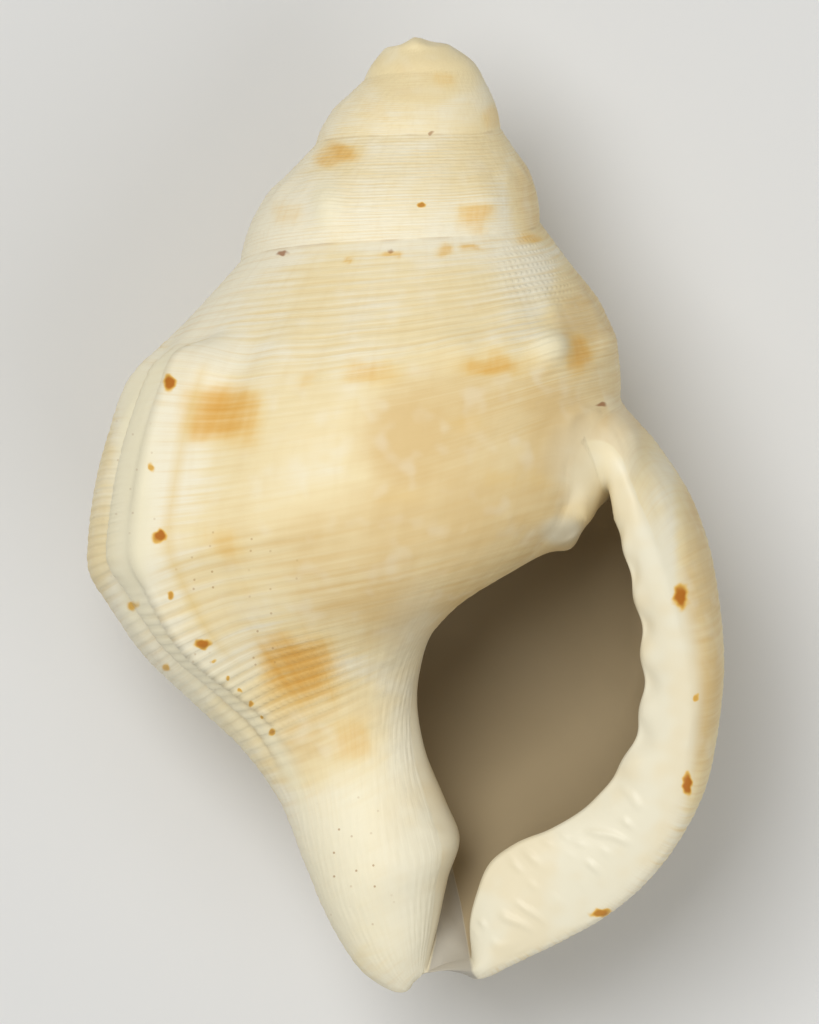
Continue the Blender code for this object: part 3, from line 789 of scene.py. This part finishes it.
def filled(points, zone):
    """Raises the mouth's upper corner and the tooth to the level of the callus that fills them."""
    x, y = pixels(points)
    open_front = (zone != CAVITY_ZONE) & (points[:, 2] > 0.0)
    for middle_x, middle_y, half_width, half_height, level, fall, fall_start in FILLS:
        far = np.hypot((x - middle_x) / half_width, (y - middle_y) / half_height)
        missing = level - fall * np.maximum(0.0, y - fall_start) - points[:, 2]
        rise = 0.5 * (missing + np.hypot(missing, FILL_SOFTNESS))
        points[:, 2] += smooth((1.0 - far) / 0.4) * open_front * rise
    return points


def corded(place, x, y, front):
    """Share of the cords' full height at each point."""
    turn, row, zone, _ = place.T
    share = front * np.maximum(areas(CORDED, x, y), CORDED_ELSEWHERE) + (1.0 - front) * CORDED_BEHIND
    return share * (zone == WALL_ZONE) * smooth((LIP_TURN - turn) / 0.03) * smooth((1.97 - row) / 0.1)


def low_relief(place, x, y, front):
    """Height of cords, lumps and wrinkles along the surface's normals."""
    turn, row, zone, depth = place.T
    early = [turn < LIP_TURN - whorls for whorls in (4.0, 3.0, 2.0)]
    cord_share = np.select(early, [0.0, 0.25, 0.5], 1.0)
    upper = UPPER_CORDS * np.maximum(cord_share, 0.25)
    count = np.where(row <= 1.0, row * upper, UPPER_CORDS + (row - 1.0) * LOWER_CORDS)
    size = np.clip(whorl_size(turn), 0.2, 1.0)
    wave = 0.5 - 0.5 * np.cos(2.0 * math.pi * count)
    height = CORD_HEIGHT * corded(place, x, y, front) * size * wave * (cord_share > 0.0)
    outside = front * ((zone == WALL_ZONE) | (zone == LIP_ZONE) | (zone == PARIETAL_ZONE))
    for middle_x, middle_y, width, tall, rise in LUMPS:
        far = np.hypot((x - middle_x) / (0.5 * width), (y - middle_y) / (0.5 * tall))
        height = height + outside * rise * np.exp(-1.6 * far * far)
    face = (zone == LIP_ZONE) * smooth(depth / 0.25)
    ridges = face * RIDGE_HEIGHT * teeth_at(row)
    height = height + ridges * smooth((depth - 0.55) / 0.3) * smooth((1.0 - depth) / 0.12)
    wander = 2.6 * ripple(row * 5.0, depth, 3)
    folds = np.maximum(0.0, np.sin(2.0 * math.pi * (15.0 * row + 0.5 * depth) + wander))
    patch = smooth(0.3 + ripple(row * 6.0, depth * 2.2, 5))
    patch = patch * smooth((row - 1.15) / 0.2) * smooth((1.95 - row) / 0.1)
    height = height + face * FOLD_HEIGHT * folds * patch * smooth((1.0 - depth) / 0.3) * smooth(depth / 0.4)
    return height + (zone == WALL_ZONE) * UNEVEN_HEIGHT * ripple(turn * 60.0, row * 14.0, 9)


def painted(place, x, y, front):
    """Shares of each colour at each point of the shell."""
    turn, row, zone, _ = place.T
    outside = (zone == WALL_ZONE) * 1.0
    near = front * outside
    far_side = (1.0 - front) * outside
    rng = np.random.default_rng(BACK_SEED)
    back = np.zeros(len(x))
    wander_turn = turn + 0.006 * ripple(turn * 40.0, row * 10.0, 23)
    wander_row = row + 0.025 * ripple(turn * 40.0, row * 10.0, 24)
    for line in BACK_LINES:
        for start in np.arange(-4.0, 0.1, BACK_STEP):
            at, size, strong = start + rng.uniform(-0.02, 0.02), rng.uniform(0.6, 1.3), rng.uniform(0.1, 0.8)
            far = np.hypot((wander_turn - at) / (0.028 * size), (wander_row - line) / (0.09 * size))
            back = np.maximum(back, strong * (1.0 - smooth((far - 0.2) / 1.1)))
    wander_x = x + 4.0 * ripple(x / 40.0, y / 40.0, 21)
    wander_y = y + 3.0 * ripple(x / 40.0, y / 40.0, 22)
    parietal = (zone == PARIETAL_ZONE) * 1.0
    white_columella = parietal * smooth((row - 1.28) / 0.15)
    glaze = np.where(zone == LIP_ZONE, 0.4 + 0.55 * smooth((row - 0.1) / 0.4), white_columella * 0.8)
    glaze = np.maximum(glaze, front * (outside + parietal) * areas(GLAZED, x, y))
    glaze = np.maximum(glaze, outside * smooth((turn - LIP_TURN + 0.02) / 0.02) * smooth((row - 0.25) / 0.3))
    old_face = hump(turn, VARIX_TURN + 0.024, 0.022) * smooth((row - 0.3) / 0.15)
    old_face = old_face * (1.0 - smooth((row - 1.5) / 0.3))
    seam = np.maximum(hump(row, 0.0, 0.008), hump(row, 1.0, 0.004) * (turn < LIP_TURN - 1.0))
    top_of_lip = hump(row, 0.0, 0.3) * ((zone == LIP_ZONE) | (turn > LIP_START))
    groove_turn = VARIX_TURN + VARIX_FALL + VARIX_GROOVE_AWAY
    old_edge = hump(turn, VARIX_TURN - 0.022, 0.003) + 0.7 * hump(turn, groove_turn, 0.004)
    # Tan, with a little painted shade on the left edge beyond the old lip.
    tan = near * areas(TAN_AND_SHADE_AREAS, x, y) + far_side * 0.5 + parietal * 0.75 + top_of_lip * 0.4
    cloud = 0.5 + 0.16 * ripple(x / 120.0, y / 120.0, 31) + 0.06 * ripple(x / 30.0, y / 30.0, 32)
    return {
        "front": front,
        "stain": near * areas(BLOTCHES, wander_x, wander_y, 3.0, 0.25) + far_side * back,
        "tan": np.clip(tan, 0.0, 1.0),
        "pale": np.maximum(near * areas(PALE_AND_HIGHLIGHT_AREAS, x, y), outside * old_face),
        "glaze": glaze,
        "inside": (zone == CAVITY_ZONE) * 1.0,
        "canal": (zone == FLOOR_ZONE) * 1.0,
        "lines": outside * (1.0 - 0.75 * front * areas(SMOOTH_AREAS, x, y)) * smooth((turn + 3.1) / 0.6),
        "cords": corded(place, x, y, front) * smooth((turn + 1.95) / 0.1),
        "scar": near * old_edge * smooth((row - 0.42) / 0.1) * smooth((1.35 - row) / 0.15),
        "seam": outside * seam * smooth((turn + 3.2) / 0.3),
        "pored": near * areas(PORED, x, y),
        "lattice": near * areas(LATTICED, x, y) + far_side * LATTICED_BEHIND,
        "cloud": np.clip(cloud, 0.0, 1.0),
    }


def mesh_of(surface):
    """The surface as a mesh in millimetres, with growth places as a UV layer and faces that point out."""
    mesh = bpy.data.meshes.new("seashell")
    mesh.from_pydata(np.array(surface.points), [], surface.faces)
    layer = mesh.uv_layers.new(name="growth")
    growth = np.array([corner for face in surface.growth for corner in face], np.float32)
    layer.uv.foreach_set("vector", growth.ravel())
    work = bmesh.new()
    work.from_mesh(mesh)
    bmesh.ops.recalc_face_normals(work, faces=work.faces)
    work.to_mesh(mesh)
    work.free()
    mesh.shade_smooth()
    return mesh


def numbers(found, name, width, kind=float):
    """All values of one property of a mesh's points, edges or normals."""
    values = np.empty(len(found) * width, kind)
    found.foreach_get(name, values)
    return values.reshape(-1, width)


def shell_object(surface):
    """The finished shell in metres, and where its frame's origin lies in the view's frame."""
    mesh = mesh_of(surface)
    points, place = np.array(surface.points), np.array(surface.place)
    edges = numbers(mesh.edges, "vertices", 2, np.int32)
    turn, row, zone, _ = place.T
    x, y = pixels(points)
    outside = zone != CAVITY_ZONE
    belt = hump(row, 1.0, 0.1) * (zone == WALL_ZONE) * (turn > LIP_TURN - 1.0)
    belt = belt * smooth((LIP_TURN - turn) / 0.02) * (1.0 - hump(turn, VARIX_TURN + 0.02, 0.09))
    weight = np.maximum(EVEN_PACE * areas(EVENED, x, y) * outside, EVEN_PACE * belt)
    points = evened(filled(points, zone), edges, weight, EVEN_ROUNDS)
    points = evened(points, edges, EVEN_PACE * areas(CORNER_EVENED, x, y) * outside, CORNER_ROUNDS)
    mesh.vertices.foreach_set("co", points.ravel())
    mesh.update()
    normals = numbers(mesh.vertex_normals, "vector", 3)
    x, y = pixels(points)
    front = smooth((normals[:, 2] + 0.1) / 0.25)
    points = points + normals * low_relief(place, x, y, front)[:, None]
    low, high = points.min(axis=0), points.max(axis=0)
    middle = np.array([(low[0] + high[0]) / 2.0, (low[1] + high[1]) / 2.0, low[2] + FLAT_DEPTH])
    placed = (points - middle) * MM
    placed[:, 2] = np.maximum(placed[:, 2], 0.0)
    mesh.vertices.foreach_set("co", placed.ravel())
    for name, values in painted(place, x, y, front).items():
        mesh.attributes.new(name, "FLOAT", "POINT").data.foreach_set("value", values.astype(np.float32))
    mesh.update()
    made = bpy.data.objects.new("seashell", mesh)
    bpy.context.scene.collection.objects.link(made)
    return made, middle


def srgb(color):
    """A linear colour from a picture's red, green and blue, all of them above 10."""
    return [((value / 255.0 + 0.055) / 1.055) ** 2.4 for value in color] + [1.0]


class Nodes:
    """Short ways to add and link a material's nodes."""

    def __init__(self, material):
        self.tree = material.node_tree
        self.color = None

    def add(self, kind, **settings):
        """Adds a node with its settings."""
        node = self.tree.nodes.new(kind)
        for name, value in settings.items():
            setattr(node, name, value)
        return node

    def link(self, source, target):
        """Links a socket, or sets a number or colour."""
        if isinstance(source, (int, float, list, tuple)):
            target.default_value = source
        else:
            self.tree.links.new(source, target)

    def math(self, operation, first, second=0.0, clamp=False):
        node = self.add("ShaderNodeMath", operation=operation, use_clamp=clamp)
        self.link(first, node.inputs[0])
        self.link(second, node.inputs[1])
        return node.outputs[0]

    def times(self, *values):
        """The product of several values."""
        product = values[0]
        for value in values[1:]:
            product = self.math("MULTIPLY", product, value)
        return product

    def plus(self, *values):
        """The sum of several values."""
        total = values[0]
        for value in values[1:]:
            total = self.math("ADD", total, value)
        return total

    def scaled(self, vector, scale, shift):
        """A vector times one constant vector plus another."""
        node = self.add("ShaderNodeVectorMath", operation="MULTIPLY_ADD")
        self.link(vector, node.inputs[0])
        node.inputs[1].default_value = scale
        node.inputs[2].default_value = shift
        return node.outputs["Vector"]

    def mix(self, share, first, second):
        """A colour part of the way from the first to the second. The node's colours are inputs 6 and 7."""
        node = self.add("ShaderNodeMix", data_type="RGBA")
        self.link(share, node.inputs["Factor"])
        self.link(first, node.inputs[6])
        self.link(second, node.inputs[7])
        return node.outputs[2]

    def paint(self, share, color):
        """Lays a colour over the colour so far."""
        self.color = self.mix(share, self.color, srgb(color))

    def attributes(self, *names):
        """Values that the mesh has at its points."""
        return [self.add("ShaderNodeAttribute", attribute_name=name).outputs["Fac"] for name in names]

    def noise(self, vector, scale, detail=1.0, dimensions="2D", output="Fac"):
        node = self.add("ShaderNodeTexNoise", noise_dimensions=dimensions)
        node.inputs["Scale"].default_value = scale
        node.inputs["Detail"].default_value = detail
        node.inputs["Roughness"].default_value = 0.6
        self.link(vector, node.inputs["Vector"])
        return node.outputs[output]

    def between(self, value, low, high, first=0.0, second=1.0):
        """Eases from first to second as the value goes from low to high."""
        node = self.add("ShaderNodeMapRange", interpolation_type="SMOOTHSTEP")
        for number, socket in zip((low, high, first, second), list(node.inputs)[1:5]):
            socket.default_value = number
        self.link(value, node.inputs[0])
        return node.outputs[0]

    def marks(self, pixel, listed):
        """Small ovals at listed places of the picture."""
        total = None
        for x, y, width, height, strength in listed:
            across, down = 2.0 / width, 2.0 / height
            near = self.scaled(pixel, (across, down, 0.0), (-x * across, -y * down, 0.0))
            length = self.add("ShaderNodeVectorMath", operation="LENGTH")
            self.link(near, length.inputs[0])
            share = self.between(length.outputs["Value"], 0.4, 1.3, strength, 0.0)
            total = share if total is None else self.math("MAXIMUM", total, share)
        return total


def shell_material(middle):
    """Cream shell with cord lines, blotches and spots, glazed round the mouth, with painted shade inside."""
    material = bpy.data.materials.new("aragonite")
    material.use_nodes = True
    nodes = Nodes(material)
    shader = material.node_tree.nodes["Principled BSDF"]
    place = nodes.add("ShaderNodeTexCoord").outputs["Object"]
    scale = 1000.0 * PIXELS_PER_MM
    shift_x = PICTURE_MIDDLE[0] + middle[0] * PIXELS_PER_MM
    shift_y = PICTURE_MIDDLE[1] - middle[1] * PIXELS_PER_MM
    pixel = nodes.scaled(place, (scale, -scale, 0.0), (shift_x, shift_y, 0.0))
    warp = nodes.noise(pixel, 0.09, output="Color")
    warp = nodes.scaled(warp, (7.0, 7.0, 0.0), (-3.5, -3.5, 0.0))
    moved = nodes.add("ShaderNodeVectorMath", operation="ADD")
    nodes.link(pixel, moved.inputs[0])
    nodes.link(warp, moved.inputs[1])
    moved = moved.outputs["Vector"]
    growth = nodes.add("ShaderNodeUVMap", uv_map="growth").outputs["UV"]
    split = nodes.add("ShaderNodeSeparateXYZ")
    nodes.link(growth, split.inputs[0])
    row = split.outputs["Y"]
    front, stain, tan, pale, glaze = nodes.attributes("front", "stain", "tan", "pale", "glaze")
    inside, canal, lines, cords = nodes.attributes("inside", "canal", "lines", "cords")
    scar, seam, pored, lattice, cloud = nodes.attributes("scar", "seam", "pored", "lattice", "cloud")

    # Lines between the cords, streaks along them, growth lines across them, clouds and grain.
    upper = nodes.times(nodes.math("MINIMUM", row, 1.0), float(UPPER_CORDS))
    lower = nodes.times(nodes.math("MAXIMUM", nodes.math("SUBTRACT", row, 1.0), 0.0), float(LOWER_CORDS))
    crest_wave = nodes.math("COSINE", nodes.times(nodes.plus(upper, lower), 2.0 * math.pi))
    groove = nodes.between(crest_wave, 0.1, 1.0)
    thread = nodes.noise(nodes.scaled(growth, (9.0, 70.0, 0.0), (0.0, 0.0, 0.0)), 1.0)
    hair = nodes.noise(nodes.scaled(growth, (16.0, 260.0, 0.0), (5.0, 0.0, 0.0)), 1.0, 0.0)
    growth_line = nodes.noise(nodes.scaled(growth, (130.0, 5.0, 0.0), (0.0, 3.0, 0.0)), 1.0)
    mottle = nodes.noise(place, 700.0, 1.0, "3D")
    rib = nodes.times(split.outputs["X"], LATTICE_RIBS * 2.0 * math.pi)
    rib_wave = nodes.math("COSINE", nodes.plus(rib, nodes.times(thread, 5.0)))

    # Ground colour from pale to tan.
    uneven = nodes.times(nodes.math("SUBTRACT", cloud, 0.5), 0.6)
    uneven = nodes.plus(uneven, nodes.times(nodes.math("SUBTRACT", thread, 0.5), lines, 0.5))
    tone = nodes.math("ADD", tan, uneven, clamp=True)
    nodes.color = nodes.mix(nodes.between(tone, 0.0, 0.5), srgb(PALE_GROUND), srgb(CREAM_GROUND))
    nodes.paint(nodes.between(tone, 0.4, 1.1), TAN_GROUND)
    faint = nodes.times(nodes.between(crest_wave, -0.3, 1.0), lines, nodes.between(thread, 0.3, 0.8), 0.22)
    nodes.paint(faint, CORD_LINE)
    nodes.paint(nodes.times(nodes.between(hair, 0.45, 0.85), lines, 0.12), HAIR_LINE)
    nodes.paint(nodes.times(nodes.between(growth_line, 0.45, 0.8), 0.08), GROWTH_LINE)
    nodes.paint(nodes.times(nodes.between(mottle, 0.5, 0.8), 0.25), CHALK)

    # Orange blotches, broken up along the cords and by growth lines.
    broken = nodes.plus(0.65, nodes.times(thread, 0.4), nodes.times(growth_line, 0.3))
    broken = nodes.plus(broken, nodes.times(lattice, nodes.math("SUBTRACT", groove, 0.5), 0.35))
    stained = nodes.math("MULTIPLY", stain, broken, clamp=True)
    nodes.paint(nodes.between(stained, 0.0, 1.0), SOFT_ORANGE)
    nodes.paint(nodes.between(stained, 0.25, 1.4), STRONG_ORANGE)
    # Pale patches. The one on a shoulder nodule is partly a painted highlight.
    nodes.paint(nodes.times(pale, 0.8), PALE_PATCH)
    nodes.paint(nodes.times(scar, 0.45), OLD_EDGE)
    # A broken darker brown line along the sutures.
    nodes.paint(nodes.times(seam, nodes.between(mottle, 0.4, 0.7), 0.35), SUTURE_DARKENING)

    # Glaze of the mouth's rim, and painted shade on the inside of the shell.
    glazed = nodes.mix(nodes.between(cloud, 0.35, 0.7), srgb(WHITE_GLAZE), srgb(CREAM_GLAZE))
    nodes.color = nodes.mix(glaze, nodes.color, glazed)
    # Painted shade: the cavity is coloured a darker greyish tan than its white porcelain.
    nodes.paint(inside, INSIDE_SHADE_COLOR)
    # Painted shade on the floor of the canal and the cavity.
    nodes.paint(canal, CANAL_SHADE_COLOR)

    # Strong spots, dark specks and pores.
    spot = nodes.times(nodes.marks(moved, SPOTS), front)
    nodes.paint(nodes.between(spot, 0.0, 0.6), SPOT_RIM)
    nodes.paint(nodes.between(spot, 0.35, 1.0), SPOT_MIDDLE)
    nodes.paint(nodes.times(nodes.marks(moved, DARK_SPECKS), front), SPECK)
    cells = nodes.add("ShaderNodeTexVoronoi", voronoi_dimensions="2D")
    cells.inputs["Scale"].default_value = 0.05
    nodes.link(pixel, cells.inputs["Vector"])
    chosen = nodes.add("ShaderNodeSeparateColor")
    nodes.link(cells.outputs["Color"], chosen.inputs[0])
    pore = nodes.between(cells.outputs["Distance"], 0.04, 0.075, 1.0, 0.0)
    pore = nodes.times(pore, pored, nodes.between(chosen.outputs["Red"], 0.45, 0.7))
    nodes.paint(nodes.times(pore, 0.6), PORE)
    nodes.link(nodes.color, shader.inputs["Base Color"])

    # Sheen, and fine relief of cords, beads, hair lines and grain.
    rough = nodes.plus(0.55, nodes.times(glaze, -0.2), nodes.times(nodes.math("SUBTRACT", mottle, 0.5), 0.15))
    nodes.link(rough, shader.inputs["Roughness"])
    shader.inputs["Specular IOR Level"].default_value = 0.28

    beads = nodes.plus(1.0, nodes.times(nodes.between(rib_wave, -0.6, 0.8, -1.0, 1.0), lattice))
    height = nodes.plus(
        nodes.times(nodes.between(crest_wave, -1.0, 1.0, 1.0, 0.0), beads, cords, 0.8),
        nodes.times(hair, lines, 0.15),
        nodes.times(growth_line, 0.2),
        nodes.times(mottle, 0.3),
    )
    bump = nodes.add("ShaderNodeBump")
    bump.inputs["Distance"].default_value = 0.00005
    nodes.link(height, bump.inputs["Height"])
    nodes.link(bump.outputs["Normal"], shader.inputs["Normal"])
    return material


def add_floor():
    """Adds the plain pale floor that the shell rests on."""
    bpy.ops.mesh.primitive_plane_add(size=FLOOR_SIZE)
    floor = bpy.context.object
    floor.name = "floor"
    material = bpy.data.materials.new("pale_floor")
    material.use_nodes = True
    shader = material.node_tree.nodes["Principled BSDF"]
    shader.inputs["Base Color"].default_value = FLOOR_COLOR
    shader.inputs["Roughness"].default_value = FLOOR_ROUGHNESS
    floor.data.materials.append(material)


def add_light(name, place, size, power):
    """Adds a soft square light that points at the shell."""
    data = bpy.data.lights.new(name, "AREA")
    data.size = size
    data.energy = power
    made = bpy.data.objects.new(name, data)
    bpy.context.scene.collection.objects.link(made)
    made.location = place
    away = made.location - LIGHT_TARGET
    made.rotation_mode = "QUATERNION"
    made.rotation_quaternion = away.to_track_quat("Z", "Y")


def add_world():
    """Adds a faint even light from all sides."""
    world = bpy.data.worlds.new("world")
    bpy.context.scene.world = world
    world.use_nodes = True
    background = world.node_tree.nodes["Background"]
    background.inputs["Color"].default_value = WORLD_COLOR
    background.inputs["Strength"].default_value = WORLD_STRENGTH


def add_camera(middle):
    """Looks straight down. One millimetre at the shell's middle height is 19 pixels of the picture."""
    data = bpy.data.cameras.new("camera")
    camera = bpy.data.objects.new("camera", data)
    bpy.context.scene.collection.objects.link(camera)
    data.sensor_fit = "VERTICAL"
    data.sensor_height = SENSOR_HEIGHT
    seen = PICTURE[1] / PIXELS_PER_MM * MM
    data.lens = SENSOR_HEIGHT * CAMERA_DISTANCE / seen
    data.clip_end = 10.0
    x = (PICTURE[0] / 2.0 - PICTURE_MIDDLE[0]) / PIXELS_PER_MM - middle[0]
    y = (PICTURE_MIDDLE[1] - PICTURE[1] / 2.0) / PIXELS_PER_MM - middle[1]
    camera.location = (x * MM, y * MM, -middle[2] * MM + CAMERA_DISTANCE)
    bpy.context.scene.camera = camera


surface = shell_surface()
shell, middle = shell_object(surface)
shell.data.materials.append(shell_material(middle))
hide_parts("shell")
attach(shell, "root")

add_floor()
for light in LIGHTS:
    add_light(*light)
add_world()
bpy.context.scene.view_settings.view_transform = "Standard"
add_camera(middle)
